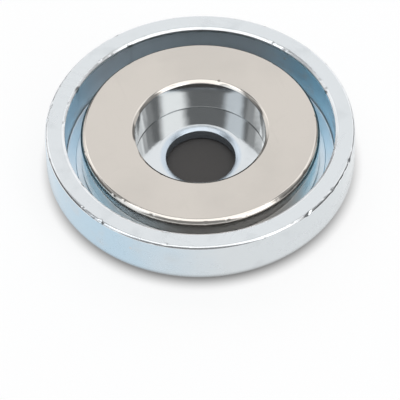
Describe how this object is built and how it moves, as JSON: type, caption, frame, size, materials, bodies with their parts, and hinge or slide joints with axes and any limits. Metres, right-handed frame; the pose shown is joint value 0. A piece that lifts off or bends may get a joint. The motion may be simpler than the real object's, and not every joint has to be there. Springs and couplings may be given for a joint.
{
  "type": "pot magnet",
  "caption": "Shallow round pot magnet: a ring magnet seated in a thick-walled steel cup with an open groove round it, and a screw hole through the middle.",
  "frame": {"origin": "centre of the flat base, on the axis", "axes": "+Z along the axis, from the base towards the open face that holds; the shape is the same all round"},
  "size_m": [0.025, 0.025, 0.0045],
  "materials": {
    "zinc_plated_steel": "bright blue-white zinc plating",
    "nickel_plated_magnet": "mirror-bright nickel plating on sintered neodymium"
  },
  "bodies": {
    "root": {"cup": "zinc_plated_steel", "magnet": "nickel_plated_magnet"}
  },
  "joints": []
}
